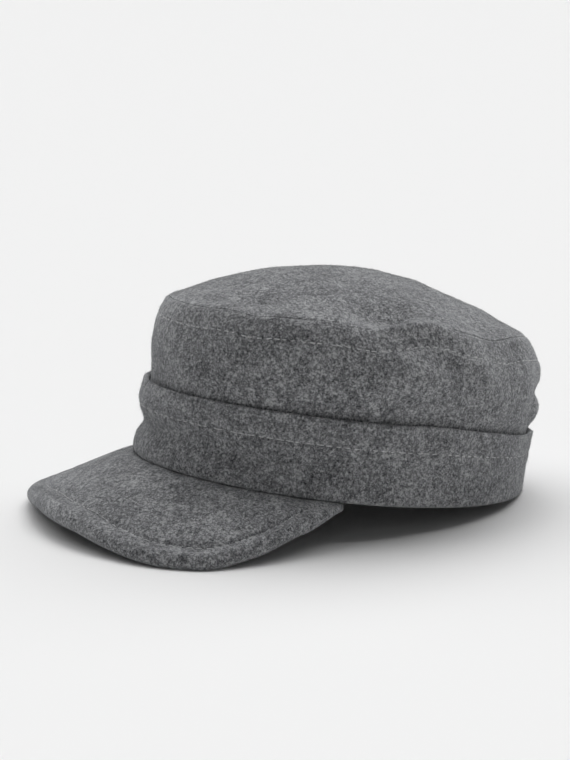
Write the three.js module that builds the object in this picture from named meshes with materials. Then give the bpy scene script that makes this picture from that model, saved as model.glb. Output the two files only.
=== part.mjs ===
// A soft grey wool cap of military cut, lying on a surface by itself. The low sides of its peak and
// its rear hem rest there, so its front is raised. Millimetres, +Z up, the peak towards -Y and the
// wearer's left towards +X. The origin is on the surface, under the middle of the whole cap.
import * as THREE from 'three';
import { mergeVertices } from 'three/addons/utils/BufferGeometryUtils.js';

// Driving dimensions
const LEAN = 8.4;              // degrees by which the cap leans back on its rear hem
const PRESSED = 0.7;           // depth of cloth pressed flat where the cap rests
const CROWN_CLOTH = 2;         // one layer of wool in the crown
const BAND_CLOTH = 2.4;        // the band's wool, folded double
const PEAK_CLOTH = 2.2;        // wool over the peak, and under it
const GAP = 0.3;               // between pieces that lie against each other
const LIP_STAND_OFF = 0.6;     // the band's folded top edge stands this far off the crown
const LIP_ROLL = 0.6;          // added thickness where the band's cloth is folded over at its top edge
const DOME_RISE = 21.6;        // the top panel's middle above its seam
const DOME_FULLNESS = 1.18;    // above 1 the panel is rounder in its middle than a parabola
const PEAK_HALF_TURN = 66;     // the peak is sewn on from this turn on one side to the other
const PEAK_ROOT = 4;           // depth of the peak's sewn edge under the hem
const RIM_GROOVE = 0.9;        // depth of the stitched groove inside the rim
const RIM_GROOVE_PLACE = 1.45; // rim radii from the rim's middle to the groove
const RIM_INSIDE = 1.05;       // rim radii from the rim's middle to its inner side
const WOOL = { color: 0x5c5d60, roughness: 0.95, metalness: 0 };

// Facets: steps round the cap and along the peak
const TURN_STEPS = 84;
const PEAK_STEPS = 48;

// A level is 0 at the hem, 1 at the band's top edge and 2 at the top seam. A turn is in degrees
// round the cap, 0 at the front, 90 at the wearer's left and 180 at the back.

// Heights of three levels above the flat plane of the hem
const HEM = { front: 1.5, side: 0, back: 1.5 };
const BAND_TOP = { front: 38.5, side: 38, back: 30.5 };
const TOP_SEAM = { front: 80.5, side: 84, back: 79 };

// Sections of the crown's side wall: how far its outer face is from the head's axis
const SECTIONS = [
  { level: 0.00, front: 102.5, side: 82.0, back: 97.5 },
  { level: 0.20, front: 102.5, side: 82.0, back: 97.5 },
  { level: 0.40, front: 100.5, side: 81.5, back: 97.5 },
  { level: 0.80, front: 103.5, side: 82.5, back: 98.5 },
  { level: 1.00, front: 102.5, side: 82.0, back: 98.5 },
  { level: 1.15, front: 103.0, side: 83.5, back: 100.0 },
  { level: 1.45, front: 104.5, side: 85.0, back: 100.5 },
  { level: 1.70, front: 103.5, side: 83.0, back: 99.0 },
  { level: 1.85, front: 102.0, side: 80.0, back: 96.0 },
  { level: 2.00, front: 99.5, side: 75.5, back: 91.5 },
];

// Dents and folds of the crown's side: a positive depth bulges out. The half turn and half level
// are where a fold has faded to a third, and its slant is how far its turn changes over one level.
const CROWN_FOLDS = [
  { turn: 73, level: 1.64, halfTurn: 9, halfLevel: 0.26, depth: 2.0, slant: -40 },
  { turn: 90, level: 1.62, halfTurn: 7, halfLevel: 0.28, depth: -2.6, slant: -33 },
  { turn: 104, level: 1.62, halfTurn: 5, halfLevel: 0.36, depth: 1.8, slant: -16 },
  { turn: 124, level: 1.38, halfTurn: 13, halfLevel: 0.26, depth: 1.2, slant: 0 },
  { turn: 126, level: 1.84, halfTurn: 7, halfLevel: 0.10, depth: -2.0, slant: 0 },
  { turn: 75, level: 1.40, halfTurn: 12, halfLevel: 0.25, depth: 2.0, slant: 0 },
  { turn: 142, level: 1.22, halfTurn: 5, halfLevel: 0.22, depth: -2.2, slant: 12 },
  { turn: 154, level: 1.22, halfTurn: 9, halfLevel: 0.15, depth: 3.0, slant: 0 },
  { turn: 153, level: 1.43, halfTurn: 12, halfLevel: 0.08, depth: -2.4, slant: 0 },
  { turn: 152, level: 1.66, halfTurn: 14, halfLevel: 0.18, depth: 1.6, slant: 0 },
  { turn: 17, level: 1.56, halfTurn: 13, halfLevel: 0.20, depth: -1.2, slant: -20 },
  { turn: 44, level: 1.30, halfTurn: 16, halfLevel: 0.18, depth: 0.8, slant: 0 },
  { turn: -34, level: 1.50, halfTurn: 12, halfLevel: 0.25, depth: -1.0, slant: 15 },
  { turn: -70, level: 1.60, halfTurn: 10, halfLevel: 0.28, depth: 1.6, slant: 30 },
  { turn: -90, level: 1.56, halfTurn: 8, halfLevel: 0.30, depth: -2.0, slant: 25 },
  { turn: -108, level: 1.55, halfTurn: 7, halfLevel: 0.34, depth: 1.5, slant: 12 },
  { turn: -136, level: 1.46, halfTurn: 9, halfLevel: 0.14, depth: -1.8, slant: 0 },
  { turn: 180, level: 1.40, halfTurn: 7, halfLevel: 0.24, depth: -1.4, slant: 10 },
];

// Folds of the band's outer face
const BAND_FOLDS = [
  { turn: 0, level: 0.40, halfTurn: 25, halfLevel: 0.10, depth: -1.0, slant: 0 },
  { turn: -20, level: 0.10, halfTurn: 30, halfLevel: 0.25, depth: 2.0, slant: 0 },
  { turn: -15, level: 0.65, halfTurn: 40, halfLevel: 0.20, depth: 1.5, slant: 0 },
  { turn: 105, level: 0.90, halfTurn: 3, halfLevel: 0.20, depth: -0.8, slant: 4 },
];

// Waves of the top seam and of the band's top edge: a positive lift raises it
const SEAM_WAVES = [
  { turn: 24, halfTurn: 7, lift: 0.8 },
  { turn: 34, halfTurn: 5, lift: -1.0 },
  { turn: 70, halfTurn: 6, lift: -1.6 },
  { turn: 87, halfTurn: 9, lift: 3.4 },
  { turn: 114, halfTurn: 10, lift: -3.0 },
  { turn: 160, halfTurn: 14, lift: -0.6 },
  { turn: -46, halfTurn: 18, lift: -3.0 },
  { turn: -66, halfTurn: 12, lift: -1.2 },
  { turn: -88, halfTurn: 10, lift: 2.2 },
  { turn: -116, halfTurn: 11, lift: -1.8 },
];
const BAND_WAVES = [
  { turn: 92, halfTurn: 12, lift: 1.0 },
  { turn: 130, halfTurn: 12, lift: -1.0 },
];

// Dents and swells of the top panel, by their share of the way from its middle to its seam
const TOP_DENTS = [
  { turn: 77, share: 0.87, halfTurn: 13, halfShare: 0.11, depth: -3.6 },
  { turn: 100, share: 0.84, halfTurn: 12, halfShare: 0.10, depth: 0.8 },
  { turn: 28, share: 0.86, halfTurn: 12, halfShare: 0.08, depth: -0.9 },
  { turn: -84, share: 0.86, halfTurn: 14, halfShare: 0.09, depth: -1.4 },
  { turn: 140, share: 0.84, halfTurn: 12, halfShare: 0.09, depth: -1.0 },
  { turn: -36, share: 0.66, halfTurn: 40, halfShare: 0.16, depth: 1.0 },
  { turn: 160, share: 0.50, halfTurn: 30, halfShare: 0.22, depth: -1.2 },
];

// The peak, by its share of the half turn from its middle to either end: the reach from the seam to
// the middle of its rim, the rim's drop below the hem, its swell above a straight slope, and the
// radius of its rolled, puffy rim
const PEAK_SECTIONS = [
  { share: 0.00, reach: 43.0, drop: 22.5, swell: 1.2, rim: 4.6 },
  { share: 0.10, reach: 43.0, drop: 22.5, swell: 1.2, rim: 4.6 },
  { share: 0.25, reach: 44.0, drop: 25.0, swell: 1.2, rim: 4.0 },
  { share: 0.40, reach: 45.5, drop: 26.5, swell: 1.2, rim: 3.8 },
  { share: 0.55, reach: 43.0, drop: 25.0, swell: 1.5, rim: 3.8 },
  { share: 0.70, reach: 30.0, drop: 17.0, swell: 2.0, rim: 3.8 },
  { share: 0.85, reach: 13.5, drop: 6.0, swell: 1.5, rim: 3.8 },
  { share: 1.00, reach: 0.5, drop: 0.5, swell: 0.0, rim: 3.8 },
];

// The soft peak is lifted a little on the wearer's right, between its middle and its low side there
const PEAK_LIFT = { share: -0.3, halfShare: 0.2, lift: 1.5 };

const radians = THREE.MathUtils.degToRad;

// A smooth curve through the rows of a table that never overshoots them
function curveThrough(rows, along, column) {
  const at = rows.map((row) => row[along]);
  const value = rows.map((row) => row[column]);
  const rise = at.slice(1).map((a, i) => (value[i + 1] - value[i]) / (a - at[i]));
  const slope = value.map((v, i) => {
    if (i === 0 || i === rise.length) {
      return i === 0 ? rise[0] : rise[i - 1];
    }
    return rise[i - 1] * rise[i] <= 0 ? 0 : 2 / (1 / rise[i - 1] + 1 / rise[i]);
  });
  return (x) => {
    const i = Math.max(0, at.findLastIndex((a, k) => a <= x && k < rise.length));
    const width = at[i + 1] - at[i];
    const s = THREE.MathUtils.clamp((x - at[i]) / width, 0, 1);
    const start = value[i] * (1 + 2 * s) * (1 - s) ** 2 + slope[i] * width * s * (1 - s) ** 2;
    const end = value[i + 1] * (3 - 2 * s) * s ** 2 + slope[i + 1] * width * (s - 1) * s ** 2;
    return start + end;
  };
}

const reachFront = curveThrough(SECTIONS, 'level', 'front');
const reachSide = curveThrough(SECTIONS, 'level', 'side');
const reachBack = curveThrough(SECTIONS, 'level', 'back');
const peakReach = curveThrough(PEAK_SECTIONS, 'share', 'reach');
const peakDrop = curveThrough(PEAK_SECTIONS, 'share', 'drop');
const peakSwell = curveThrough(PEAK_SECTIONS, 'share', 'swell');
const peakRim = curveThrough(PEAK_SECTIONS, 'share', 'rim');

// A height that is given at the front, the side and the back, at any turn between them
function heightAround(turn, { front, side, back }) {
  const angle = radians(turn);
  const mean = (front + 2 * side + back) / 4;
  const tilt = (front - back) / 2;
  const saddle = (front - 2 * side + back) / 4;
  return mean + tilt * Math.cos(angle) + saddle * Math.cos(2 * angle);
}

// How much of a fold is left at a distance from its middle
function fade(turn, foldTurn, halfTurn, away = 0) {
  const apart = ((turn - foldTurn + 540) % 360) - 180;
  return Math.exp(-((apart / halfTurn) ** 2) - away ** 2);
}

function foldDepth(folds, turn, level) {
  return folds.reduce((sum, fold) => {
    const away = (level - fold.level) / fold.halfLevel;
    const middle = fold.turn + fold.slant * (level - fold.level);
    return sum + fold.depth * fade(turn, middle, fold.halfTurn, away);
  }, 0);
}

function waveLift(waves, turn) {
  return waves.reduce((sum, wave) => sum + wave.lift * fade(turn, wave.turn, wave.halfTurn), 0);
}

function levelHeight(turn, level) {
  const hem = heightAround(turn, HEM);
  const bandTop = heightAround(turn, BAND_TOP) + waveLift(BAND_WAVES, turn);
  const seam = heightAround(turn, TOP_SEAM) + waveLift(SEAM_WAVES, turn);
  if (level <= 1) {
    return THREE.MathUtils.lerp(hem, bandTop, level);
  }
  return THREE.MathUtils.lerp(bandTop, seam, level - 1);
}

// The direction straight away from the side wall, seen from above
function planNormal(turn, level) {
  const angle = radians(turn);
  const half = (reachFront(level) + reachBack(level)) / 2;
  return new THREE.Vector3(Math.sin(angle) * half, -Math.cos(angle) * reachSide(level), 0).normalize();
}

// The outer face of the crown's side wall
function sideFace(turn, level) {
  const angle = radians(turn);
  const front = reachFront(level);
  const back = reachBack(level);
  const place = new THREE.Vector3(
    reachSide(level) * Math.sin(angle),
    (back - front) / 2 - ((front + back) / 2) * Math.cos(angle),
    levelHeight(turn, level),
  );
  const aboveBand = THREE.MathUtils.smoothstep(level, 1, 1.12);
  const belowSeam = 1 - THREE.MathUtils.smoothstep(level, 1.9, 2);
  const push = foldDepth(CROWN_FOLDS, turn, level) * aboveBand * belowSeam;
  return place.addScaledVector(planNormal(turn, level), push);
}

// The unit normal of a face that is given as a function of turn and level, pointing out
function faceNormal(face, turn, level) {
  const step = 0.01;
  const along = face(turn + 1, level).sub(face(turn - 1, level));
  const up = face(turn, Math.min(level + step, 2)).sub(face(turn, Math.max(level - step, 0)));
  return along.cross(up).normalize();
}

// The band lies against the crown's side, and its folded top edge stands a little off it
function bandInnerFace(turn, level) {
  const clear = GAP + (LIP_STAND_OFF - GAP) * THREE.MathUtils.smoothstep(level, 0.8, 1);
  const bulge = Math.max(foldDepth(BAND_FOLDS, turn, level), 0);
  return sideFace(turn, level).addScaledVector(planNormal(turn, level), clear + bulge);
}

function bandOuterFace(turn, level) {
  const roll = LIP_ROLL * THREE.MathUtils.smoothstep(level, 0.84, 0.94);
  const thick = BAND_CLOTH + roll + Math.min(foldDepth(BAND_FOLDS, turn, level), 0);
  return bandInnerFace(turn, level).addScaledVector(planNormal(turn, level), thick);
}

// The top panel's outer face, by its share of the way from the middle to the seam
function topFace(turn, share) {
  const seam = sideFace(turn, 2);
  const middle = new THREE.Vector3(0, (reachBack(2) - reachFront(2)) / 2, 0);
  const middleHeight = (TOP_SEAM.front + 2 * TOP_SEAM.side + TOP_SEAM.back) / 4;
  const place = middle.lerp(seam, share);
  place.z = middleHeight + (seam.z - middleHeight) * share ** 3;
  place.z += DOME_RISE * (1 - share ** 2) ** DOME_FULLNESS;
  const offMiddle = THREE.MathUtils.smoothstep(share, 0, 0.3);
  for (const dent of TOP_DENTS) {
    const away = (share - dent.share) / dent.halfShare;
    place.z += offMiddle * dent.depth * fade(turn, dent.turn, dent.halfTurn, away);
  }
  return place;
}

// The seam's mitre: the two cloths meet along a line that runs in and down from the seam
function mitrePoint(turn, depth, aside) {
  const inward = planNormal(turn, 2).negate();
  const down = new THREE.Vector3(0, 0, -1);
  const along = inward.clone().add(down).normalize();
  const across = inward.clone().sub(down).normalize();
  return sideFace(turn, 2).addScaledVector(along, depth).addScaledVector(across, aside);
}

// From the cap's own frame, hem flat, to the surface that it rests on
function stand(point) {
  const lean = radians(LEAN);
  const rearHem = reachBack(0) + GAP + BAND_CLOTH;
  const y = point.y - rearHem;
  const z = point.z - HEM.back;
  const height = z * Math.cos(lean) - y * Math.sin(lean) - PRESSED;
  return new THREE.Vector3(point.x, y * Math.cos(lean) + z * Math.sin(lean), Math.max(height, 0));
}

// A closed body skinned over closed outlines that all have the same number of points. A ring joins
// its last outline to its first, and any other body is closed by a fan over each end. Each four
// points are split along their shorter diagonal, so two faces that lie together are split alike.
function skin(outlines, ring) {
  const positions = [];
  const addTriangle = (a, b, c) => {
    const tiny = 1e-6;
    if (a.distanceTo(b) > tiny && b.distanceTo(c) > tiny && c.distanceTo(a) > tiny) {
      positions.push(a.x, a.y, a.z, b.x, b.y, b.z, c.x, c.y, c.z);
    }
  };
  const placed = outlines.map((outline) => outline.map(stand));
  const spans = ring ? placed.length : placed.length - 1;
  for (let i = 0; i < spans; i += 1) {
    const here = placed[i];
    const next = placed[(i + 1) % placed.length];
    here.forEach((point, j) => {
      const k = (j + 1) % here.length;
      if (point.distanceTo(next[k]) < next[j].distanceTo(here[k])) {
        addTriangle(point, next[j], next[k]);
        addTriangle(point, next[k], here[k]);
      } else {
        addTriangle(point, next[j], here[k]);
        addTriangle(next[j], next[k], here[k]);
      }
    });
  }
  if (!ring) {
    const closeEnd = (outline, reverse) => {
      const middle = new THREE.Vector3();
      outline.forEach((point) => middle.addScaledVector(point, 1 / outline.length));
      outline.forEach((point, j) => {
        const after = outline[(j + 1) % outline.length];
        addTriangle(middle, reverse ? after : point, reverse ? point : after);
      });
    };
    closeEnd(placed[0], false);
    closeEnd(placed[placed.length - 1], true);
  }
  const geometry = new THREE.BufferGeometry();
  geometry.setAttribute('position', new THREE.Float32BufferAttribute(positions, 3));
  const closed = mergeVertices(geometry);
  closed.computeVertexNormals();
  return closed;
}

function turnList() {
  return Array.from({ length: TURN_STEPS }, (unused, i) => (i * 360) / TURN_STEPS);
}

function crownSide() {
  const outerLevels = [0, 0.2, 0.38, 0.6, 0.8, 0.95, 1.04, 1.14, 1.27, 1.4, 1.53, 1.66, 1.78, 1.88, 1.95];
  const innerLevels = [1.92, 1.78, 1.58, 1.36, 1.14, 0.9, 0.38, 0];
  return skin(turnList().map((turn) => [
    ...outerLevels.map((level) => sideFace(turn, level)),
    mitrePoint(turn, 0, -GAP / 2),
    mitrePoint(turn, CROWN_CLOTH, -GAP / 2),
    ...innerLevels.map((level) => {
      const inward = faceNormal(sideFace, turn, level).multiplyScalar(-CROWN_CLOTH);
      return sideFace(turn, level).add(inward);
    }),
  ]), true);
}

function crownTop() {
  const outerShares = [0, 0.3, 0.52, 0.68, 0.78, 0.86, 0.93];
  const innerShares = [0.9, 0.76, 0.52, 0];
  const below = new THREE.Vector3(0, 0, -CROWN_CLOTH * 1.08);
  return skin(turnList().map((turn) => [
    ...outerShares.map((share) => topFace(turn, share)),
    mitrePoint(turn, 0, GAP / 2),
    mitrePoint(turn, CROWN_CLOTH, GAP / 2),
    ...innerShares.map((share) => topFace(turn, share).add(below)),
  ]).map((outline) => outline.reverse()), true);
}

function band() {
  const outerLevels = [0, 0.14, 0.27, 0.39, 0.52, 0.68, 0.84, 0.94];
  const lipLevel = 1.0;
  const innerLevels = [0.95, 0.8, 0.6, 0.38, 0.2, 0];
  return skin(turnList().map((turn) => {
    const lipOut = bandInnerFace(turn, lipLevel).lerp(bandOuterFace(turn, lipLevel), 0.72);
    const lipIn = bandInnerFace(turn, lipLevel).lerp(bandOuterFace(turn, lipLevel), 0.28);
    return [
      ...outerLevels.map((level) => bandOuterFace(turn, level)),
      lipOut,
      lipIn,
      ...innerLevels.map((level) => bandInnerFace(turn, level)),
    ];
  }), true);
}

function peakLift(share) {
  return PEAK_LIFT.lift * Math.exp(-(((share - PEAK_LIFT.share) / PEAK_LIFT.halfShare) ** 2));
}

// One section of the peak. Its places are given along the peak from the seam, and across it.
function peakSection(share) {
  const turn = share * PEAK_HALF_TURN;
  const side = Math.abs(share);
  const reach = peakReach(side);
  const drop = peakDrop(side) - peakLift(share);
  const seam = bandOuterFace(turn, 0);
  const out = planNormal(turn, 0);
  const fullness = 0.3 + 0.7 * THREE.MathUtils.smoothstep(reach, 0, 14);
  const half = PEAK_CLOTH * fullness + GAP / 2;
  const heightAlong = (distance) => {
    const s = Math.max(distance, 0) / reach;
    return -drop * s + 4 * peakSwell(side) * s * (1 - s);
  };
  const place = (distance, across) => {
    const step = 0.5;
    const slope = (heightAlong(distance) - heightAlong(distance - step)) / step;
    const length = Math.hypot(1, slope);
    return seam.clone()
      .addScaledVector(out, distance - (across * slope) / length)
      .add(new THREE.Vector3(0, 0, heightAlong(distance) - GAP - half + across / length));
  };
  return { reach, fullness, half, rim: peakRim(side) * fullness, place };
}

function peakShares() {
  return Array.from({ length: PEAK_STEPS + 1 }, (unused, i) => (2 * i) / PEAK_STEPS - 1);
}

// Distances along the peak from its root, past its bend at the seam, to where the rim starts
function peakDistances({ reach, rim }) {
  const rimStart = reach - 2 * rim;
  const bend = Math.min(0, (rimStart - PEAK_ROOT) / 2);
  const slope = [0.33, 0.67, 1].map((share) => THREE.MathUtils.lerp(bend, rimStart, share));
  return [-PEAK_ROOT, bend, ...slope];
}

function peakUpper() {
  const rimAngles = [122, 90, 55, 20, -15, -50, -78, -105, -138];
  return skin(peakShares().map((share) => {
    const section = peakSection(share);
    const { reach, rim, half, fullness, place } = section;
    const distances = peakDistances(section);
    const top = distances.map((distance) => place(distance, half));
    const groove = place(reach - RIM_GROOVE_PLACE * rim, half - RIM_GROOVE * fullness);
    const roll = rimAngles.map((angle) => place(
      reach + rim * Math.cos(radians(angle)),
      rim * Math.sin(radians(angle)),
    ));
    const inside = [...distances, reach - RIM_INSIDE * rim].map((distance) => place(distance, GAP / 2));
    return [...top, groove, ...roll, ...inside.reverse()].reverse();
  }), false);
}

function peakUnder() {
  return skin(peakShares().map((share) => {
    const section = peakSection(share);
    const edge = section.reach - RIM_INSIDE * section.rim - 2 * GAP;
    const distances = [...peakDistances(section), edge];
    const top = distances.map((distance) => section.place(distance, -GAP / 2));
    const bottom = distances.map((distance) => section.place(distance, -section.half));
    return [...bottom, ...top.reverse()];
  }), false);
}

function piece(name, geometry) {
  const mesh = new THREE.Mesh(geometry, new THREE.MeshStandardMaterial(WOOL));
  mesh.name = name;
  return mesh;
}

const cap = new THREE.Group();
cap.add(piece('crown_top', crownTop()));
cap.add(piece('crown_side', crownSide()));
cap.add(piece('band', band()));
cap.add(piece('peak_upper', peakUpper()));
cap.add(piece('peak_under', peakUnder()));

// The whole cap's middle goes over the origin
const middle = new THREE.Box3().setFromObject(cap).getCenter(new THREE.Vector3());
cap.position.set(-middle.x, -middle.y, 0);

export default cap;
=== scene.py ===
import math

import bmesh
import bpy
import numpy as np
from mathutils import Matrix, Vector


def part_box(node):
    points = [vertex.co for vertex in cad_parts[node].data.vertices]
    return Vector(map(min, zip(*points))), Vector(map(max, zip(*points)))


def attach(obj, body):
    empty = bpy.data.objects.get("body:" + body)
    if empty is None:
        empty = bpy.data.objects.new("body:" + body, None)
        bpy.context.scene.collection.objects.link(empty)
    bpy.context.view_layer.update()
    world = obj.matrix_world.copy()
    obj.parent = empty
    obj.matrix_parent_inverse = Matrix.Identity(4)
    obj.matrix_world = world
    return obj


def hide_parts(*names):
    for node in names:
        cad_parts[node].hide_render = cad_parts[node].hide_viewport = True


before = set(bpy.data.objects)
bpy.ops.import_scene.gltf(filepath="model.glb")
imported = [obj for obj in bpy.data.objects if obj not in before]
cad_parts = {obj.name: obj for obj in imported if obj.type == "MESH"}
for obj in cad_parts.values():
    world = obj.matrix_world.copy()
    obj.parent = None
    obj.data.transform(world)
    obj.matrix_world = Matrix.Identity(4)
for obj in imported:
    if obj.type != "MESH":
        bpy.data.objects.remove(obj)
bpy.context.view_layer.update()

# The solids' own sizes, in millimetres, except for the lean and the peak's half turn in degrees,
# the dome's fullness, which is a power, and the rim's last two, which are in rim radii
LEAN = math.radians(8.4)
PRESSED = 0.7
CROWN_CLOTH = 2.0
BAND_CLOTH = 2.4
PEAK_CLOTH = 2.2
GAP = 0.3
LIP_STAND_OFF = 0.6
DOME_RISE = 21.6
DOME_FULLNESS = 1.18
PEAK_HALF_TURN = 66.0
PEAK_ROOT = 4.0
RIM_GROOVE = 0.9
RIM_GROOVE_PLACE = 1.45
RIM_INSIDE = 1.05

# Added thickness of the band's folded top edge, which is less than the solids' 0.6
LIP_ROLL = 0.3

# One millimetre in metres
METRES = 0.001

# Heights of the hem, the band's top edge and the top seam: front, side, back
HEM = (1.5, 0, 1.5)
BAND_TOP = (38.5, 38, 30.5)
TOP_SEAM = (80.5, 84, 79)

# Level, and how far the crown's side is from the axis at the front, side and back
SECTIONS = [
    (0.00, 102.5, 82.0, 97.5),
    (0.20, 102.5, 82.0, 97.5),
    (0.40, 100.5, 81.5, 97.5),
    (0.80, 103.5, 82.5, 98.5),
    (1.00, 102.5, 82.0, 98.5),
    (1.15, 103.0, 83.5, 100.0),
    (1.45, 104.5, 85.0, 100.5),
    (1.70, 103.5, 83.0, 99.0),
    (1.85, 102.0, 80.0, 96.0),
    (2.00, 99.5, 75.5, 91.5),
]

# Turn, level, half turn, half level, depth, slant
CROWN_FOLDS = [
    (73, 1.64, 9, 0.26, 2.0, -40),
    (90, 1.62, 7, 0.28, -2.6, -33),
    (104, 1.62, 5, 0.36, 1.8, -16),
    (124, 1.38, 13, 0.26, 1.2, 0),
    (126, 1.84, 7, 0.10, -2.0, 0),
    (75, 1.40, 12, 0.25, 2.0, 0),
    (142, 1.22, 5, 0.22, -2.2, 12),
    (154, 1.22, 9, 0.15, 3.0, 0),
    (153, 1.43, 12, 0.08, -2.4, 0),
    (152, 1.66, 14, 0.18, 1.6, 0),
    (17, 1.56, 13, 0.20, -1.2, -20),
    (44, 1.30, 16, 0.18, 0.8, 0),
    (-34, 1.50, 12, 0.25, -1.0, 15),
    (-70, 1.60, 10, 0.28, 1.6, 30),
    (-90, 1.56, 8, 0.30, -2.0, 25),
    (-108, 1.55, 7, 0.34, 1.5, 12),
    (-136, 1.46, 9, 0.14, -1.8, 0),
    (180, 1.40, 7, 0.24, -1.4, 10),
]
BAND_FOLDS = [
    (0, 0.40, 25, 0.10, -1.0, 0),
    (-20, 0.10, 30, 0.25, 2.0, 0),
    (-15, 0.65, 40, 0.20, 1.5, 0),
    (105, 0.90, 3, 0.20, -0.8, 4),
]

# Turn, half turn, lift
SEAM_WAVES = [
    (24, 7, 0.8), (34, 5, -1.0), (70, 6, -1.6), (87, 9, 3.4), (114, 10, -3.0),
    (160, 14, -0.6), (-46, 18, -3.0), (-66, 12, -1.2), (-88, 10, 2.2), (-116, 11, -1.8),
]
BAND_WAVES = [(92, 12, 1.0), (130, 12, -1.0)]

# Turn, share, half turn, half share, depth
TOP_DENTS = [
    (77, 0.87, 13, 0.11, -3.6),
    (100, 0.84, 12, 0.10, 0.8),
    (28, 0.86, 12, 0.08, -0.9),
    (-84, 0.86, 14, 0.09, -1.4),
    (140, 0.84, 12, 0.09, -1.0),
    (-36, 0.66, 40, 0.16, 1.0),
    (160, 0.50, 30, 0.22, -1.2),
]

# Share, reach, drop, swell, rim
PEAK_SECTIONS = [
    (0.00, 43.0, 22.5, 1.2, 4.6),
    (0.10, 43.0, 22.5, 1.2, 4.6),
    (0.25, 44.0, 25.0, 1.2, 4.0),
    (0.40, 45.5, 26.5, 1.2, 3.8),
    (0.55, 43.0, 25.0, 1.5, 3.8),
    (0.70, 30.0, 17.0, 2.0, 3.8),
    (0.85, 13.5, 6.0, 1.5, 3.8),
    (1.00, 0.5, 0.5, 0.0, 3.8),
]

# Share, half share, lift of the peak on the wearer's right
PEAK_LIFT = (-0.3, 0.2, 1.5)

# About how many millimetres one level of the crown's side and of the band is high, and how many
# millimetres the top panel reaches from its middle to its seam
CROWN_LEVEL = 44.0
BAND_LEVEL = 37.0
TOP_REACH = 86.0

# Levels of the two rows of stitches, and the cloth drawn in along them and along the top seam
CROWN_ROW = 1.765
BAND_ROW = 0.67
ROW_DEPTH = 0.38
ROW_HALF_WIDTH = 1.3
SEAM_TUCK = 0.95
SEAM_SHOULDER = 1.1
CROWN_PITCH = 4.2
BAND_PITCH = 4.5
PEAK_PITCH = 4.3

# One stitch: the share of the pitch that it covers, its radius, how far it rises over the cloth,
# how deep its ends are sunk, how much that varies, where it starts and how far it wanders
STITCH_SHARE = 0.66
THREAD_RADIUS = 0.23
STITCH_RISE = 0.30
STITCH_SUNK = 0.15
STITCH_SUNK_SPREAD = 0.11
STITCH_START = 0.12
STITCH_WANDER = 0.11

# The band's edges: the levels where they begin, and how high their round is
BAND_HIGH_EDGE = 0.966
BAND_LOW_EDGE = 0.035
EDGE_ROUND = 1.26

# The band's lower edge is drawn up over the peak by this many levels, which fades out between two
# levels and over the last degrees of the peak's half turn
EDGE_RAISE = 0.026
RAISE_FROM, RAISE_TO = 0.05, 0.3
RAISE_FADE = 8

# Forms softer than the solids' folds: turn, level, half turn, half level, depth, slant
BAND_CREASES = [(10, 0.50, 20, 0.09, -1.4, 0)]
CROWN_CREASES = [(88, 1.46, 16, 0.18, 1.8, 0), (90, 1.86, 13, 0.10, -0.8, 0)]

# How uneven each cloth is
SIDE_UNEVEN = 0.26
TOP_UNEVEN = 0.3
BAND_UNEVEN = 0.2
PEAK_UNEVEN = 0.22

# Distances from the top seam at which the cloth is finely divided
NEAR_SEAM = np.array([5.2, 4.0, 3.1, 2.4, 1.8, 1.3, 0.9, 0.55, 0.25, 0.08])

# The peak's rim: where it starts, how much deeper than the solid's its groove is, and the angles
# that its roll covers
RIM_START = 2.15
GROOVE_DEEPER = 1.05
ROLL_FROM, ROLL_TO = 138, -140

TURNS = 360
PEAK_STEPS = 220

rng = np.random.default_rng(41)


def smoothstep(x, low, high):
    t = np.clip((x - low) / (high - low), 0, 1)
    return t * t * (3 - 2 * t)


def unit(v):
    return v / np.linalg.norm(v, axis=-1, keepdims=True)


def curve_through(rows, column):
    """A smooth curve through one column of a table, which never overshoots the rows."""
    at = np.array([row[0] for row in rows], float)
    value = np.array([row[column] for row in rows], float)
    rise = np.diff(value) / np.diff(at)
    product = rise[:-1] * rise[1:]
    inner = np.zeros_like(product)
    np.divide(2 * product, rise[:-1] + rise[1:], out=inner, where=product > 0)
    slope = np.concatenate([rise[:1], inner, rise[-1:]])

    def curve(x):
        x = np.asarray(x, float)
        i = np.clip(np.searchsorted(at, x, side="right") - 1, 0, len(rise) - 1)
        width = at[i + 1] - at[i]
        s = np.clip((x - at[i]) / width, 0, 1)
        start = value[i] * (1 + 2 * s) * (1 - s) ** 2 + slope[i] * width * s * (1 - s) ** 2
        end = value[i + 1] * (3 - 2 * s) * s ** 2 + slope[i + 1] * width * (s - 1) * s ** 2
        return start + end

    return curve


reach_front, reach_side, reach_back = (curve_through(SECTIONS, column) for column in (1, 2, 3))
peak_reach, peak_drop, peak_swell, peak_rim = (curve_through(PEAK_SECTIONS, c) for c in (1, 2, 3, 4))


def height_around(turn, heights):
    """A height that goes smoothly from its value at the front to those at the side and back."""
    front, side, back = heights
    angle = np.radians(turn)
    mean = (front + 2 * side + back) / 4
    tilt = (front - back) / 2
    saddle = (front - 2 * side + back) / 4
    return mean + tilt * np.cos(angle) + saddle * np.cos(2 * angle)


def fade(turn, middle, half_turn, away=0):
    """1 in the middle of a form, falling to nothing around it."""
    apart = (turn - middle + 540) % 360 - 180
    return np.exp(-((apart / half_turn) ** 2) - away ** 2)


def fold_depth(folds, turn, level):
    total = 0
    for middle, fold_level, half_turn, half_level, depth, slant in folds:
        away = (level - fold_level) / half_level
        total = total + depth * fade(turn, middle + slant * (level - fold_level), half_turn, away)
    return total


def wave_lift(waves, turn):
    return sum(lift * fade(turn, middle, half_turn) for middle, half_turn, lift in waves)


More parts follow.
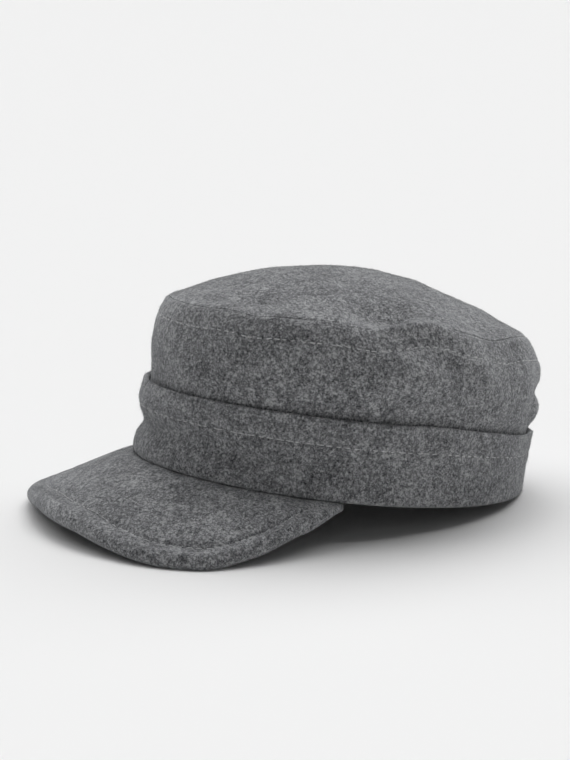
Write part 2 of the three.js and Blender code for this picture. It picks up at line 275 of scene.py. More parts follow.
def level_height(turn, level):
    """Height of a level: 0 is the hem, 1 the band's top edge and 2 the top seam."""
    hem = height_around(turn, HEM)
    band_top = height_around(turn, BAND_TOP) + wave_lift(BAND_WAVES, turn)
    seam = height_around(turn, TOP_SEAM) + wave_lift(SEAM_WAVES, turn)
    low = hem + (band_top - hem) * level
    high = band_top + (seam - band_top) * (level - 1)
    return np.where(level <= 1, low, high)


def stack(x, y, z):
    x, y, z = np.broadcast_arrays(x, y, z)
    return np.stack([x, y, z], axis=-1).astype(float)


def plan_normal(turn, level):
    """Level direction straight out of the cap's oval."""
    angle = np.radians(turn)
    half = (reach_front(level) + reach_back(level)) / 2
    return unit(stack(np.sin(angle) * half, -np.cos(angle) * reach_side(level), 0 * half))


def plain_side(turn, level):
    """Outside of the crown's side, with the solids' folds."""
    angle = np.radians(turn)
    front, back = reach_front(level), reach_back(level)
    place = stack(
        reach_side(level) * np.sin(angle),
        (back - front) / 2 - ((front + back) / 2) * np.cos(angle),
        level_height(turn, level),
    )
    above_band = smoothstep(level, 1, 1.12)
    below_seam = 1 - smoothstep(level, 1.9, 2)
    push = fold_depth(CROWN_FOLDS, turn, level) * above_band * below_seam
    return place + plan_normal(turn, level) * push[..., None]


def face_normal(face, turn, level):
    step = 0.01
    along = face(turn + 1, level) - face(turn - 1, level)
    up = face(turn, np.minimum(level + step, 2.0)) - face(turn, np.maximum(level - step, 0))
    return unit(np.cross(along, up))


def mitre_direction(turn):
    """From the top seam into the cloth, halfway between the side and the top panel."""
    inward = -plan_normal(turn, 2.0 + 0 * turn)
    return unit(inward + np.array([0, 0, -1.0]))


def mitre_point(turn, depth, aside):
    inward = -plan_normal(turn, 2.0 + 0 * turn)
    down = np.array([0, 0, -1.0])
    along = unit(inward + down)
    across = unit(inward - down)
    return plain_side(turn, 2.0 + 0 * turn) + along * depth + across * aside


# Soft unevenness of the cloth: many long shallow waves added together
WAVES = 36
SHORTEST_WAVE, LONGEST_WAVE = 7, 34
wave_direction = unit(rng.normal(size=(WAVES, 3)))
wave_length = np.geomspace(SHORTEST_WAVE, LONGEST_WAVE, WAVES)
wave_phase = rng.uniform(0, 2 * math.pi, WAVES)


def unevenness(points):
    total = np.zeros(points.shape[:-1])
    for direction, length, phase in zip(wave_direction, wave_length, wave_phase):
        total += (length / LONGEST_WAVE) * np.sin(points @ direction * 2 * math.pi / length + phase)
    return total / math.sqrt(WAVES / 4)


def groove(distance, depth, half_width):
    """Push on the cloth at a distance from a row of stitches, which draw it in."""
    return -depth * np.exp(-((distance / half_width) ** 2))


def crown_side_face(turn, level):
    place = plain_side(turn, level)
    normal = face_normal(plain_side, turn, level)
    soft = SIDE_UNEVEN * unevenness(place) * smoothstep(level, 1.0, 1.1)
    soft = soft * (1 - smoothstep(level, 1.85, 2))
    soft = soft + fold_depth(CROWN_CREASES, turn, level) * (1 - smoothstep(level, 1.9, 2))
    row = groove((level - CROWN_ROW) * CROWN_LEVEL, ROW_DEPTH, ROW_HALF_WIDTH)
    place = place + normal * (soft + row)[..., None]
    tuck = SEAM_TUCK * np.exp(-(2 - level) * CROWN_LEVEL / SEAM_SHOULDER)
    return place + mitre_direction(turn) * tuck[..., None]


def plain_top(turn, share):
    seam = plain_side(turn, 2.0 + 0 * turn)
    middle_y = (reach_back(2) - reach_front(2)) / 2
    middle_height = (TOP_SEAM[0] + 2 * TOP_SEAM[1] + TOP_SEAM[2]) / 4
    height = middle_height + (seam[..., 2] - middle_height) * share ** 3
    height = height + DOME_RISE * (1 - share ** 2) ** DOME_FULLNESS
    off_middle = smoothstep(share, 0, 0.3)
    for middle, at, half_turn, half_share, depth in TOP_DENTS:
        height = height + off_middle * depth * fade(turn, middle, half_turn, (share - at) / half_share)
    return stack(seam[..., 0] * share, middle_y + (seam[..., 1] - middle_y) * share, height)


def crown_top_face(turn, share):
    place = plain_top(turn, share)
    place[..., 2] += TOP_UNEVEN * unevenness(place) * (1 - smoothstep(share, 0.93, 1))
    tuck = SEAM_TUCK * np.exp(-(1 - share) * TOP_REACH / SEAM_SHOULDER)
    return place + mitre_direction(turn) * tuck[..., None]


def band_inner(turn, level):
    clear = GAP + (LIP_STAND_OFF - GAP) * smoothstep(level, 0.8, 1)
    bulge = np.maximum(fold_depth(BAND_FOLDS, turn, level), 0)
    return plain_side(turn, level) + plan_normal(turn, level) * (clear + bulge)[..., None]


def band_outer(turn, level):
    roll = LIP_ROLL * smoothstep(level, 0.84, 0.94)
    thick = BAND_CLOTH + roll + np.minimum(fold_depth(BAND_FOLDS, turn, level), 0)
    place = band_inner(turn, level) + plan_normal(turn, level) * thick[..., None]
    soft = BAND_UNEVEN * unevenness(place)
    row = groove((level - BAND_ROW) * BAND_LEVEL, ROW_DEPTH, ROW_HALF_WIDTH)
    row = row + fold_depth(BAND_CREASES, turn, level)
    return place + plan_normal(turn, level) * (soft + row)[..., None]


REAR_HEM = float(reach_back(0)) + GAP + BAND_CLOTH


def stand(points):
    """From the cap's own frame, hem flat, to the surface that it rests on."""
    y = points[..., 1] - REAR_HEM
    z = points[..., 2] - HEM[2]
    height = z * math.cos(LEAN) - y * math.sin(LEAN) - PRESSED
    return stack(points[..., 0], y * math.cos(LEAN) + z * math.sin(LEAN), np.maximum(height, 0))


class Peak:
    """The peak at one or more shares of its half turn."""

    def __init__(self, share):
        self.share = share
        self.turn = share * PEAK_HALF_TURN
        side = np.abs(share)
        lift_share, half_share, lift = PEAK_LIFT
        self.reach = peak_reach(side)
        self.drop = peak_drop(side) - lift * np.exp(-((share - lift_share) / half_share) ** 2)
        self.swell = peak_swell(side)
        self.fullness = 0.3 + 0.7 * smoothstep(self.reach, 0, 14)
        self.half = PEAK_CLOTH * self.fullness + GAP / 2
        self.rim = peak_rim(side) * self.fullness
        thick = BAND_CLOTH + np.minimum(fold_depth(BAND_FOLDS, self.turn, 0 * share), 0)
        self.out = plan_normal(self.turn, 0 * share)
        self.seam = band_inner(self.turn, 0 * share) + self.out * thick[..., None]

    def height(self, distance):
        s = np.maximum(distance, 0) / self.reach
        return -self.drop * s + 4 * self.swell * s * (1 - s)

    def place(self, distance, across):
        step = 0.5
        slope = (self.height(distance) - self.height(distance - step)) / step
        length = np.hypot(1, slope)
        up = self.height(distance) - GAP - self.half + across / length
        lift = np.zeros(self.seam.shape)
        lift[..., 2] = up
        return self.seam + self.out * (distance - across * slope / length)[..., None] + lift


def shifted():
    """Where the solids' middle was moved to: the difference between the two boxes of one node."""
    turn = np.linspace(0, 360, TURNS, endpoint=False)[:, None]
    level = np.linspace(0, 2, 60)[None, :]
    points = stand(plain_side(turn, level)).reshape(-1, 3)
    low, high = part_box("crown_side")
    middle = (np.array(low) + np.array(high)) / 2 / METRES
    return middle - (points.min(axis=0) + points.max(axis=0)) / 2


SHIFT = shifted()
SHIFT[2] = 0


def to_world(points):
    return (stand(points) + SHIFT) * METRES


def new_object(name, data):
    """An object with this data, put in the scene."""
    piece = bpy.data.objects.new(name, data)
    bpy.context.scene.collection.objects.link(piece)
    return piece


def make_mesh(name, points, ring):
    """A closed body through rows of closed outlines: points[row, place, 3], in millimetres."""
    rows, count = points.shape[:2]
    world = to_world(points).reshape(-1, 3)
    faces = []
    spans = rows if ring else rows - 1
    here = np.arange(count)
    following = (here + 1) % count
    for i in range(spans):
        j = (i + 1) % rows
        faces.append(np.stack([
            i * count + here, i * count + following, j * count + following, j * count + here,
        ], axis=1))
    faces = np.concatenate(faces).tolist()
    mesh = bpy.data.meshes.new(name)
    mesh.from_pydata(world.tolist(), [], faces)
    work = bmesh.new()
    work.from_mesh(mesh)
    bmesh.ops.remove_doubles(work, verts=work.verts, dist=2e-6)
    if not ring:
        edges = [edge for edge in work.edges if edge.is_boundary]
        bmesh.ops.holes_fill(work, edges=edges, sides=0)
    bmesh.ops.recalc_face_normals(work, faces=work.faces)
    work.to_mesh(mesh)
    work.free()
    mesh.shade_smooth()
    return new_object(name, mesh)


TURN = np.linspace(0, 360, TURNS, endpoint=False)[:, None]


def along_turns(levels):
    turn = np.repeat(TURN, len(levels), axis=1)
    return turn, np.repeat(np.array(levels, float)[None, :], TURNS, axis=0)


def seam_edge(side):
    """The hidden edge of a cloth along the top seam, half a gap to one side of the mitre."""
    depths = (SEAM_TUCK, (SEAM_TUCK + CROWN_CLOTH) / 2 + 0.3, CROWN_CLOTH + 0.7)
    return np.concatenate([mitre_point(TURN, depth, side * GAP / 2) for depth in depths], axis=1)


def crown_side_points():
    near_seam = 2 - NEAR_SEAM / CROWN_LEVEL
    outer = np.concatenate([
        [0.02], np.linspace(0.06, 0.92, 12), np.linspace(0.95, 1.12, 8),
        np.linspace(1.14, 1.68, 30), np.linspace(1.69, 1.87, 22), near_seam,
    ])
    inner = np.concatenate([[1.93, 1.86], np.linspace(1.78, 1.06, 12), np.linspace(1.0, 0.02, 10)])
    turn, level = along_turns(outer)
    out = crown_side_face(turn, level)
    turn_in, level_in = along_turns(inner)
    back = plain_side(turn_in, level_in) - face_normal(plain_side, turn_in, level_in) * CROWN_CLOTH
    hem_out = plain_side(TURN, 0.0 * TURN)
    across = -plan_normal(TURN, 0.0 * TURN)
    hem = np.concatenate([hem_out + across * CROWN_CLOTH * share for share in (0.8, 0.5, 0.2)], axis=1)
    return np.concatenate([out, seam_edge(-1), back, hem], axis=1)


def crown_top_points():
    near_seam = 1 - NEAR_SEAM / TOP_REACH
    outer = np.concatenate([[0], np.linspace(0.05, 0.93, 42), near_seam])
    inner = np.concatenate([np.linspace(0.94, 0.3, 12), [0.15, 0]])
    turn, share = along_turns(outer)
    out = crown_top_face(turn, share)
    turn_in, share_in = along_turns(inner)
    back = plain_top(turn_in, share_in)
    back[..., 2] -= CROWN_CLOTH * 1.08
    return np.concatenate([out, seam_edge(1), back], axis=1)


def drawn_up(turn, level):
    """Levels of the band, drawn up near its lower edge where the peak is sewn in under it."""
    apart = np.abs((turn + 180) % 360 - 180)
    over_peak = 1 - smoothstep(apart, PEAK_HALF_TURN - RAISE_FADE, PEAK_HALF_TURN)
    return level + EDGE_RAISE * over_peak * (1 - smoothstep(level, RAISE_FROM, RAISE_TO))


def band_points():
    """The band's two edges are folds, so its section ends in a half circle above and below."""
    levels = np.concatenate([
        np.linspace(BAND_LOW_EDGE, 0.55, 20), np.linspace(0.57, 0.77, 20),
        np.linspace(0.79, BAND_HIGH_EDGE, 12),
    ])
    turn, level = along_turns(levels)
    out = band_outer(turn, drawn_up(turn, level))
    turn_in, level_in = along_turns(np.linspace(BAND_HIGH_EDGE, BAND_LOW_EDGE, 16))
    back = band_inner(turn_in, level_in)
    edges = []
    for level_edge, sign in ((BAND_HIGH_EDGE, 1), (BAND_LOW_EDGE, -1)):
        at = level_edge + 0.0 * TURN
        outside = band_outer(TURN, drawn_up(TURN, at))
        inside = band_inner(TURN, at)
        middle = (outside + inside) / 2
        half = (outside - inside) / 2
        lower = np.abs(outside[..., 2] - inside[..., 2]) / 2 if sign < 0 else 0
        up = np.zeros(middle.shape)
        up[..., 2] = EDGE_ROUND * sign - lower
        angles = np.radians(np.linspace(20, 160, 8))
        arc = [middle + half * math.cos(a) + up * math.sin(a) for a in angles]
        edges.append(np.concatenate(arc if sign > 0 else arc[::-1], axis=1))
    return np.concatenate([out, edges[0], back, edges[1]], axis=1)


def peak_profile(peak):
    """Distances and heights across of the upper cloth's outline, from its root over the rim and back."""
    reach, rim, half, fullness = (v[:, None] for v in (peak.reach, peak.rim, peak.half, peak.fullness))
    start = reach - RIM_START * rim
    bend = np.minimum(0, (start + PEAK_ROOT) / 2 - PEAK_ROOT)
    shares = np.linspace(0, 1, 15)[None, :]
    top = np.concatenate([-PEAK_ROOT + 0 * reach, bend + (start - bend) * shares], axis=1)
    top_up = np.repeat(half, top.shape[1], axis=1)
    spots = (1.9, 1.72, 1.58, 1.45, 1.33, 1.2, 1.02)
    depths = (0.16, 0.5, 0.84, 1.0, 0.88, 0.5, -0.2)
    dip = np.concatenate([reach - spot * rim for spot in spots], axis=1)
    deepest = RIM_GROOVE * GROOVE_DEEPER
    dip_up = np.concatenate([half - deepest * depth * fullness for depth in depths], axis=1)
    angles = np.radians(np.linspace(ROLL_FROM, ROLL_TO, 26))[None, :]
    roll = reach + rim * np.cos(angles)
    roll_up = rim * np.sin(angles)
    inner = np.concatenate([[1], np.linspace(0.9, 0, 8)])[None, :]
    end = reach - RIM_INSIDE * rim
    back = np.concatenate([bend + (end - bend) * inner, -PEAK_ROOT + 0 * reach], axis=1)
    back_up = np.full(back.shape, GAP / 2)
    distance = np.concatenate([top, dip, roll, back], axis=1)
    across = np.concatenate([top_up, dip_up, roll_up, back_up], axis=1)
    return distance, across


def on_peak(share, distance, across):
    """Places on the peak for arrays that hold one row for each share."""
    columns = distance.shape[1]
    peak = Peak(np.repeat(share[:, None], columns, axis=1))
    return peak.place(distance, across)


def uneven_peak(points, across, half):
    """The peak's places, with the unevenness of the cloth on its upper face alone."""
    lift = PEAK_UNEVEN * unevenness(points) * (across > half * 0.4)
    points[..., 2] += lift
    return points


PEAK_SHARE = np.linspace(-1, 1, PEAK_STEPS + 1)

# The first places of the peak's outline cover its upper face and its rim
UPPER_PLACES = 48


def peak_upper_points():
    distance, across = peak_profile(Peak(PEAK_SHARE))
    half = Peak(PEAK_SHARE).half[:, None]
    return uneven_peak(on_peak(PEAK_SHARE, distance, across), across, half)


def peak_under_points():
    peak = Peak(PEAK_SHARE)
    reach, rim, half = (v[:, None] for v in (peak.reach, peak.rim, peak.half))
    edge = reach - RIM_INSIDE * rim - 2 * GAP
    bend = np.minimum(0, (edge + PEAK_ROOT) / 2 - PEAK_ROOT)
    shares = np.linspace(0, 1, 18)[None, :]
    down = np.concatenate([-PEAK_ROOT + 0 * reach, bend + (edge - bend) * shares], axis=1)
    round_off = np.concatenate([edge + 0.22, edge + 0.22], axis=1)
    distance = np.concatenate([down, round_off, down[:, ::-1]], axis=1)
    low = np.repeat(-half, down.shape[1], axis=1)
    high = np.full(down.shape, -GAP / 2)
    sides = np.concatenate([-half * 0.72, -half * 0.3], axis=1)
    across = np.concatenate([low, sides, high], axis=1)
    return on_peak(PEAK_SHARE, distance, across)


crown_side = make_mesh("crown_side_cloth", crown_side_points(), True)
crown_top = make_mesh("crown_top_cloth", crown_top_points(), True)
band = make_mesh("band_cloth", band_points(), True)
peak_upper = make_mesh("peak_upper_cloth", peak_upper_points(), False)
peak_under = make_mesh("peak_under_cloth", peak_under_points(), False)


# Stitches; the peak's row ends at this share of its half turn on both sides
PEAK_ROW_END = 0.93


def stitch_row(name, path, pitch):
    """Threads along path(s), which gives a place and a normal in millimetres for s from 0 to 1."""
    steps = 2400
    s = np.linspace(0, 1, steps)
    place, normal = path(s)
    run = np.concatenate([[0], np.cumsum(np.linalg.norm(np.diff(place, axis=0), axis=1))])
    count = int(run[-1] // pitch)
    sides, rings = 6, 7
    vertices, faces = [], []
    for k in range(count):
        wander = rng.normal(0, STITCH_WANDER, 3)
        start = (k + STITCH_START + wander[0]) * pitch
        share = np.linspace(0, 1, rings)
        at = np.interp(start + share * pitch * (STITCH_SHARE + wander[1]), run, s)
        middle, up = path(at)
        sunk = STITCH_SUNK + STITCH_SUNK_SPREAD * abs(rng.normal())
        rise = STITCH_RISE * np.sin(np.pi * share) ** 0.6 - sunk
        middle = middle + up * rise[:, None]
        along = unit(np.gradient(middle, axis=0))
        aside = unit(np.cross(along, up))
        over = np.cross(aside, along)
        middle = middle + aside * wander[2] * (share - 0.5)[:, None] * 2
        radius = THREAD_RADIUS * (0.55 + 0.45 * np.sin(np.pi * share) ** 0.5)
        angle = np.arange(sides) * 2 * math.pi / sides
        ring_points = (
            middle[:, None, :]
            + radius[:, None, None] * np.cos(angle)[None, :, None] * aside[:, None, :]
            + radius[:, None, None] * np.sin(angle)[None, :, None] * over[:, None, :]
        )
        first = len(vertices)
        vertices.extend(ring_points.reshape(-1, 3).tolist())
        for r in range(rings - 1):
            for j in range(sides):
                a = first + r * sides + j
                b = first + r * sides + (j + 1) % sides
                faces.append((a, b, b + sides, a + sides))
        faces.append(tuple(first + j for j in range(sides))[::-1])
        last = first + (rings - 1) * sides
        faces.append(tuple(last + j for j in range(sides)))
    mesh = bpy.data.meshes.new(name)
    mesh.from_pydata(to_world(np.array(vertices)).tolist(), [], faces)
    mesh.shade_smooth()
    return new_object(name, mesh)


def ring_path(face, level):
    """A path once round the cap along one level of a face."""
    def path(s):
        turn = np.asarray(s) * 360 - 178
        levels = level + 0 * turn
        return face(turn, levels), face_normal(face, turn, levels)
    return path


def peak_path(s):
    """The path of the stitches in the groove behind the peak's rim."""
    share = -PEAK_ROW_END + 2 * PEAK_ROW_END * np.asarray(s)
    peak = Peak(share)
    distance = peak.reach - RIM_GROOVE_PLACE * peak.rim
    across = peak.half - RIM_GROOVE * GROOVE_DEEPER * peak.fullness
    place = peak.place(distance, across)
    above = peak.place(distance, across + 1)
    return place, unit(above - place)


crown_stitches = stitch_row("crown_stitches", ring_path(crown_side_face, CROWN_ROW), CROWN_PITCH)
band_stitches = stitch_row("band_stitches", ring_path(band_outer, BAND_ROW), BAND_PITCH)
peak_stitches = stitch_row("peak_stitches", peak_path, PEAK_PITCH)


# Nap: short fibres that lie on the cloth or stand a little off it. How many there are
FIBRES = 36000
PEAK_FIBRES = 26000

# Shares of them that are light, dark and bent. The top panel gets a larger share of light fibres than the
# sides as a painted sheen: it is made lighter for the bright light that it catches at a grazing view, not
# for a lighter cloth
LIGHT_FIBRES = 0.30
TOP_LIGHT_FIBRES_AS_PAINTED_SHEEN = 0.62
DARK_FIBRES = 0.25
BENT_FIBRES = 0.12

# Their size, how deep they are rooted and how far they stay off the floor, in millimetres
FIBRE_LENGTH = 1.15
LENGTH_SPREAD = 0.42
SHORTEST_FIBRE, LONGEST_FIBRE = 0.35, 3.2
THINNEST_FIBRE, THICKEST_FIBRE = 0.026, 0.046
ROOT_DEPTH = 0.04
OFF_FLOOR = 0.02

# How steeply they stand, in degrees, and how far the bent ones turn aside and droop
LOWEST_LIFT, LIFT_RANGE = 4, 56
CURL = 0.8
DROOP = 0.25


def outer_faces(points, ring, sign):
    """Corners and normals of the triangles over rows of places, in millimetres as the cap stands."""
    grid = stand(points) + SHIFT
    if ring:
        grid = np.concatenate([grid, grid[:1]], axis=0)
    a, b = grid[:-1, :-1], grid[1:, :-1]
    c, d = grid[1:, 1:], grid[:-1, 1:]
    corners = np.concatenate([
        np.stack([a, b, c], axis=-2).reshape(-1, 3, 3), np.stack([a, c, d], axis=-2).reshape(-1, 3, 3),
    ])
    cross = np.cross(corners[:, 1] - corners[:, 0], corners[:, 2] - corners[:, 0]) * sign
    area = np.linalg.norm(cross, axis=1)
    kept = area > 1e-6
    return corners[kept], cross[kept] / area[kept][:, None], area[kept]


def spikes(base, along, length, radius, bend):
    """Thin closed fibres: three corners at the root, three at the middle where they bend, one at the tip."""
    side = unit(np.cross(along, unit(rng.normal(size=along.shape))))
    over = np.cross(along, side)
    spin = rng.uniform(0, 2 * math.pi, len(base))
    corners = []
    for k in range(3):
        angle = spin + k * 2 * math.pi / 3
        corners.append(side * np.cos(angle)[:, None] + over * np.sin(angle)[:, None])
    root = [base + corner * radius[:, None] for corner in corners]
    if bend is None:
        tip = base + along * length[:, None]
        points = np.stack([*root, tip], axis=1)
        faces = [(0, 1, 3), (1, 2, 3), (2, 0, 3), (0, 2, 1)]
    else:
        middle = base + along * (length * 0.5)[:, None]
        tip = middle + unit(along + bend) * (length * 0.5)[:, None]
        knee = [middle + corner * radius[:, None] * 0.8 for corner in corners]
        points = np.stack([*root, *knee, tip], axis=1)
        faces = [
            (0, 1, 4), (0, 4, 3), (1, 2, 5), (1, 5, 4), (2, 0, 3), (2, 3, 5),
            (3, 4, 6), (4, 5, 6), (5, 3, 6), (0, 2, 1),
        ]
    return points, np.array(faces)


def nap(name, surface, count, light_share=LIGHT_FIBRES):
    """One piece of fibres, spread evenly over a surface, in three tones."""
    corners, normal, area = surface
    pick = rng.choice(len(area), count, p=area / area.sum())
    u, v = rng.random(count), rng.random(count)
    flip = u + v > 1
    u[flip], v[flip] = 1 - u[flip], 1 - v[flip]
    a, b, c = (corners[pick, k] for k in range(3))
    base = a + (b - a) * u[:, None] + (c - a) * v[:, None]
    out = normal[pick]
    flat = unit(np.cross(out, rng.normal(size=(count, 3))))
    lift = np.radians(LOWEST_LIFT + LIFT_RANGE * rng.beta(1.1, 4.0, count))
    along = flat * np.cos(lift)[:, None] + out * np.sin(lift)[:, None]
    varied = rng.lognormal(0, LENGTH_SPREAD, count)
    long = np.clip(FIBRE_LENGTH * varied, SHORTEST_FIBRE, LONGEST_FIBRE)
    radius = rng.uniform(THINNEST_FIBRE, THICKEST_FIBRE, count)
    base = base - out * ROOT_DEPTH
    bent = rng.random(count) < BENT_FIBRES
    vertices, faces, shades = [], [], []
    first = 0
    tone = rng.choice(3, count, p=(1 - DARK_FIBRES - light_share, light_share, DARK_FIBRES))
    for chosen, curl in ((~bent, False), (bent, True)):
        turned = unit(np.cross(out[chosen], along[chosen])) * rng.normal(0, CURL, chosen.sum())[:, None]
        turned = turned - out[chosen] * DROOP
        bend = turned if curl else None
        points, pattern = spikes(base[chosen], along[chosen], long[chosen], radius[chosen], bend)
        each = points.shape[1]
        start = first + np.arange(len(points)) * each
        faces.append((start[:, None, None] + pattern[None]).reshape(-1, 3))
        shades.append(np.repeat(tone[chosen], len(pattern)))
        vertices.append(points.reshape(-1, 3))
        first += points.shape[0] * each
    vertices, faces, shades = np.concatenate(vertices), np.concatenate(faces), np.concatenate(shades)
    vertices[:, 2] = np.maximum(vertices[:, 2], OFF_FLOOR)
    mesh = bpy.data.meshes.new(name)
    mesh.vertices.add(len(vertices))
    mesh.vertices.foreach_set("co", (vertices * METRES).ravel())
    mesh.loops.add(faces.size)
    mesh.loops.foreach_set("vertex_index", faces.ravel().astype(np.int32))
    mesh.polygons.add(len(faces))
    mesh.polygons.foreach_set("loop_start", np.arange(0, faces.size, 3, dtype=np.int32))
    mesh.polygons.foreach_set("material_index", shades.astype(np.int32))
    mesh.update(calc_edges=True)
    mesh.validate()
    return new_object(name, mesh)


turn, level = along_turns(np.linspace(1.0, 1.995, 40))
side_nap = nap("crown_side_nap", outer_faces(crown_side_face(turn, level), True, 1), FIBRES)
turn, share = along_turns(np.linspace(0, 0.995, 40))
top_faces = outer_faces(crown_top_face(turn, share), True, -1)
# The top's nap takes the larger share of light fibres: painted sheen on the top panel
top_nap = nap("crown_top_nap", top_faces, FIBRES, TOP_LIGHT_FIBRES_AS_PAINTED_SHEEN)
turn, level = along_turns(np.linspace(0.0, 1.0, 36))
band_nap = nap("band_nap", outer_faces(band_outer(turn, level), True, 1), FIBRES)
distance, across = peak_profile(Peak(PEAK_SHARE))
upper = on_peak(PEAK_SHARE, distance, across)[:, :UPPER_PLACES]
peak_nap = nap("peak_nap", outer_faces(upper, False, 1), PEAK_FIBRES)
naps = (side_nap, top_nap, band_nap, peak_nap)


# Materials
def new_material(name):
    material = bpy.data.materials.new(name)
    material.use_nodes = True
    nodes = material.node_tree.nodes
    shader = next(node for node in nodes if node.type == "BSDF_PRINCIPLED")
    return material, nodes, material.node_tree.links, shader


def noise(nodes, links, vector, scale, detail, roughness):
    node = nodes.new("ShaderNodeTexNoise")
    node.inputs["Scale"].default_value = scale
    node.inputs["Detail"].default_value = detail
    node.inputs["Roughness"].default_value = roughness
    links.new(vector, node.inputs["Vector"])
    return node.outputs["Fac"]


def mapped(nodes, links, vector, scale, rotation):
    node = nodes.new("ShaderNodeMapping")
    node.inputs["Scale"].default_value = scale
    node.inputs["Rotation"].default_value = rotation
    links.new(vector, node.inputs["Vector"])
    return node.outputs["Vector"]


def math_node(nodes, links, operation, first, second):
    node = nodes.new("ShaderNodeMath")
    node.operation = operation
    for socket, value in zip(node.inputs, (first, second)):
        if isinstance(value, (int, float)):
            socket.default_value = value
        else:
            links.new(value, socket)
    return node.outputs["Value"]


def spread(nodes, links, value, low, high, first=0, last=1):
    """The value, stretched so that low gives first and high gives last."""
    node = nodes.new("ShaderNodeMapRange")
    node.inputs["From Min"].default_value = low
    node.inputs["From Max"].default_value = high
    node.inputs["To Min"].default_value = first
    node.inputs["To Max"].default_value = last
    links.new(value, node.inputs["Value"])
    return node.outputs["Result"]


def filament(nodes, links, vector, scale, distortion, width):
    """A mask of thin wandering lines: 1 on a line, 0 away from it."""
    node = nodes.new("ShaderNodeTexNoise")
    node.inputs["Scale"].default_value = scale
    node.inputs["Detail"].default_value = 1.0
    node.inputs["Distortion"].default_value = distortion
    links.new(vector, node.inputs["Vector"])
    away = math_node(nodes, links, "SUBTRACT", node.outputs["Fac"], 0.5)
    away = math_node(nodes, links, "ABSOLUTE", away, 0)
    return spread(nodes, links, away, 0, width, 1, 0)


def weighed(nodes, links, terms):
    """The sum of values, each times its weight."""
    total = None
    for value, weight in terms:
        part = math_node(nodes, links, "MULTIPLY", value, weight)
        total = part if total is None else math_node(nodes, links, "ADD", total, part)
    return total


def wool_material(name, dark, middle, light):
    """Fulled melange wool: light and dark fibres in clumps and patches, under a soft sheen."""
    material, nodes, links, shader = new_material(name)
    where = nodes.new("ShaderNodeTexCoord").outputs["Object"]
    aside = mapped(nodes, links, where, (1, 1, 1), (0.7, 0.4, 1.1))
    fine = noise(nodes, links, where, 1150, 2.0, 0.6)
    clumps = noise(nodes, links, aside, 620, 3.0, 0.55)
    patches = noise(nodes, links, where, 190, 2.0, 0.55)
    broad = noise(nodes, links, where, 40, 2.0, 0.5)
    light_lines = filament(nodes, links, where, 420, 1.4, 0.022)
    more_lines = filament(nodes, links, aside, 560, 1.8, 0.026)
    dark_lines = filament(nodes, links, aside, 330, 1.2, 0.024)
    total = weighed(nodes, links, (
        (fine, 0.50), (clumps, 0.48), (patches, 0.22), (broad, 0.14),
        (light_lines, 0.10), (more_lines, 0.08), (dark_lines, -0.09),
    ))
    shade = spread(nodes, links, total, 0.49, 0.83)
    ramp = nodes.new("ShaderNodeValToRGB")
    ramp.color_ramp.elements[0].position = 0.0
    ramp.color_ramp.elements[0].color = (*dark, 1)
    ramp.color_ramp.elements[1].position = 1.0
    ramp.color_ramp.elements[1].color = (*light, 1)
    element = ramp.color_ramp.elements.new(0.5)
    element.color = (*middle, 1)
    links.new(shade, ramp.inputs["Fac"])
    links.new(ramp.outputs["Color"], shader.inputs["Base Color"])
    relief = weighed(nodes, links, ((fine, 0.8), (clumps, 0.9), (light_lines, 0.16), (more_lines, 0.14)))
    bump = nodes.new("ShaderNodeBump")
    bump.inputs["Strength"].default_value = 0.8
    bump.inputs["Distance"].default_value = 0.0005
    links.new(relief, bump.inputs["Height"])
    links.new(bump.outputs["Normal"], shader.inputs["Normal"])
    shader.inputs["Roughness"].default_value = 0.95
    shader.inputs["Specular IOR Level"].default_value = 0.15
    shader.inputs["Sheen Weight"].default_value = 0.5
    shader.inputs["Sheen Roughness"].default_value = 0.4
    shader.inputs["Sheen Tint"].default_value = (0.85, 0.87, 0.9, 1)
    return material


WOOL_DARK = (0.033, 0.034, 0.037)
WOOL_MIDDLE = (0.176, 0.179, 0.186)
WOOL_LIGHT = (0.500, 0.506, 0.515)
wool = wool_material("wool", WOOL_DARK, WOOL_MIDDLE, WOOL_LIGHT)


def plain_cloth(name, colour, varied):
    """Thread or fibre of one colour, lighter and darker by a share of it."""
    material, nodes, links, shader = new_material(name)
    where = nodes.new("ShaderNodeTexCoord").outputs["Object"]
    value = noise(nodes, links, where, 900, 2.0, 0.5)
    ramp = nodes.new("ShaderNodeValToRGB")
    ramp.color_ramp.elements[0].position = 0.3
    ramp.color_ramp.elements[0].color = (*[c * (1 - varied) for c in colour], 1)
    ramp.color_ramp.elements[1].position = 0.7
    ramp.color_ramp.elements[1].color = (*[c * (1 + varied) for c in colour], 1)
    links.new(value, ramp.inputs["Fac"])
    links.new(ramp.outputs["Color"], shader.inputs["Base Color"])
    shader.inputs["Roughness"].default_value = 0.8
    return material


thread = plain_cloth("thread", (0.62, 0.625, 0.63), 0.25)
fibres = [
    plain_cloth("fibre_middle", (0.225, 0.229, 0.236), 0.3),
    plain_cloth("fibre_light", (0.550, 0.555, 0.566), 0.2),
    plain_cloth("fibre_dark", (0.055, 0.057, 0.060), 0.3),
]

for cloth in (crown_side, crown_top, band, peak_upper, peak_under):
    cloth.data.materials.append(wool)
for stitches in (crown_stitches, band_stitches, peak_stitches):
    stitches.data.materials.append(thread)

for fibre_piece in naps:
    for fibre in fibres:
        fibre_piece.data.materials.append(fibre)

# What each piece rides on, and the solid that it stands for
for piece, node in (
    (crown_side, "crown_side"), (crown_top, "crown_top"), (band, "band"),
    (peak_upper, "peak_upper"), (peak_under, "peak_under"),
):
    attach(piece, "root")
    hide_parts(node)
for piece in (crown_stitches, band_stitches, peak_stitches, *naps):
    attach(piece, "root")

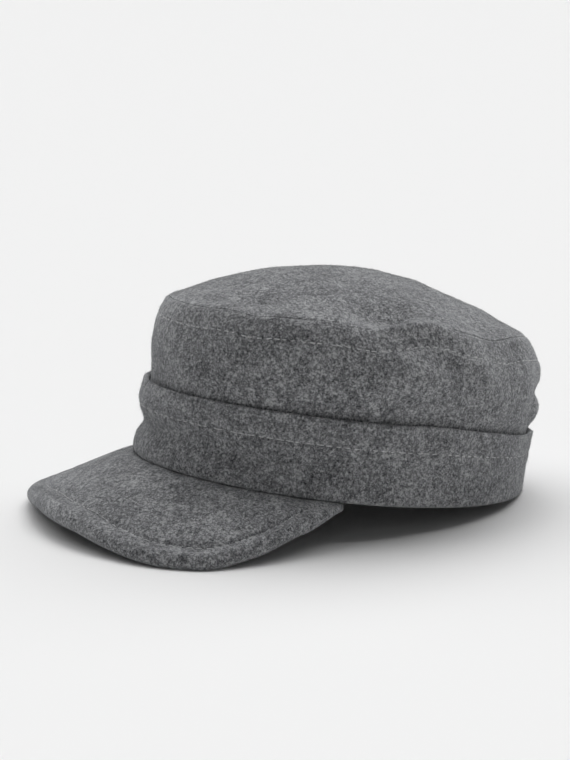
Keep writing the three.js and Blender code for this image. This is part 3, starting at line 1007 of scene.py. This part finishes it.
# A pale floor, in metres
FLOOR = 100.0
floor_mesh = bpy.data.meshes.new("floor")
floor_corners = [(-FLOOR, -FLOOR, 0), (FLOOR, -FLOOR, 0), (FLOOR, FLOOR, 0), (-FLOOR, FLOOR, 0)]
floor_mesh.from_pydata(floor_corners, [], [(0, 1, 2, 3)])
floor = new_object("floor", floor_mesh)
paper, _, _, paper_shader = new_material("paper")
paper_shader.inputs["Base Color"].default_value = (0.84, 0.84, 0.84, 1)
paper_shader.inputs["Roughness"].default_value = 0.9
paper_shader.inputs["Specular IOR Level"].default_value = 0.1
floor_mesh.materials.append(paper)

# The room is pale up to a little above the horizon, and dark overhead
HORIZON_LIGHT = 0.85
HORIZON_TOP = 0.12
SKY_LIGHT = 0.05
world = bpy.data.worlds.new("studio")
world.use_nodes = True
background = next(node for node in world.node_tree.nodes if node.type == "BACKGROUND")
background.inputs["Color"].default_value = (1, 1, 1, 1)
nodes, links = world.node_tree.nodes, world.node_tree.links
direction = nodes.new("ShaderNodeTexCoord")
parts = nodes.new("ShaderNodeSeparateXYZ")
links.new(direction.outputs["Generated"], parts.inputs["Vector"])
rise = parts.outputs["Z"]
light = spread(nodes, links, rise, HORIZON_TOP / 2, HORIZON_TOP, HORIZON_LIGHT, SKY_LIGHT)
links.new(light, background.inputs["Strength"])
bpy.context.scene.world = world

# The camera's side of the cap, from the front towards the wearer's left
AZIMUTH = math.radians(60)

# Soft lights: turn from the camera's side towards the right of the view, height, strength, width.
# The turn, height and width are in degrees
LAMPS = [
    ("behind_left", -135, 54, 1.25, 60),
    ("behind_right", 140, 54, 1.8, 60),
    ("behind", 180, 60, 0.7, 50),
    ("front", 0, 20, 0.15, 50),
    ("right", 80, 15, 0.1, 50),
]


def wide_lamp(name, turn, height, strength, width):
    """Even light from one side of the sky, as from a large soft box far away."""
    light = bpy.data.lights.new(name, "SUN")
    light.energy = strength
    light.angle = math.radians(width)
    lamp = new_object(name, light)
    side = AZIMUTH + math.radians(turn)
    rise = math.radians(height)
    towards = Vector((math.sin(side) * math.cos(rise), -math.cos(side) * math.cos(rise), math.sin(rise)))
    lamp.rotation_euler = towards.to_track_quat("Z", "Y").to_euler()


for lamp in LAMPS:
    wide_lamp(*lamp)

# The photo's camera: its height over the horizon, its lens in picture points, its distance and
# shift in millimetres from a place on the cap's axis, and how far it sees in metres
ELEVATION = math.radians(11.6)
FOCAL_PIXELS = 1943
CAMERA_DISTANCE = 979
ASIDE = 25.1
ABOVE = 9.8
PHOTO_HEIGHT = 760
SENSOR = 36.0
AIM_HEIGHT = 50
FARTHEST = 50
to_camera = Vector((
    math.sin(AZIMUTH) * math.cos(ELEVATION), -math.cos(AZIMUTH) * math.cos(ELEVATION), math.sin(ELEVATION),
))
right = Vector((math.cos(AZIMUTH), math.sin(AZIMUTH), 0))
up = to_camera.cross(right)
target = Vector((0, 0, AIM_HEIGHT)) + Vector((SHIFT[0], SHIFT[1] - REAR_HEM, -PRESSED))
place = target + to_camera * CAMERA_DISTANCE - right * ASIDE + up * ABOVE
camera_data = bpy.data.cameras.new("camera")
camera_data.sensor_width = SENSOR
camera_data.lens = FOCAL_PIXELS / PHOTO_HEIGHT * SENSOR
camera_data.clip_end = FARTHEST
camera = new_object("camera", camera_data)
turned_to_cap = Matrix((right, up, to_camera)).transposed().to_4x4()
camera.matrix_world = Matrix.Translation(place * METRES) @ turned_to_cap
bpy.context.scene.camera = camera
bpy.context.scene.view_settings.view_transform = "Standard"
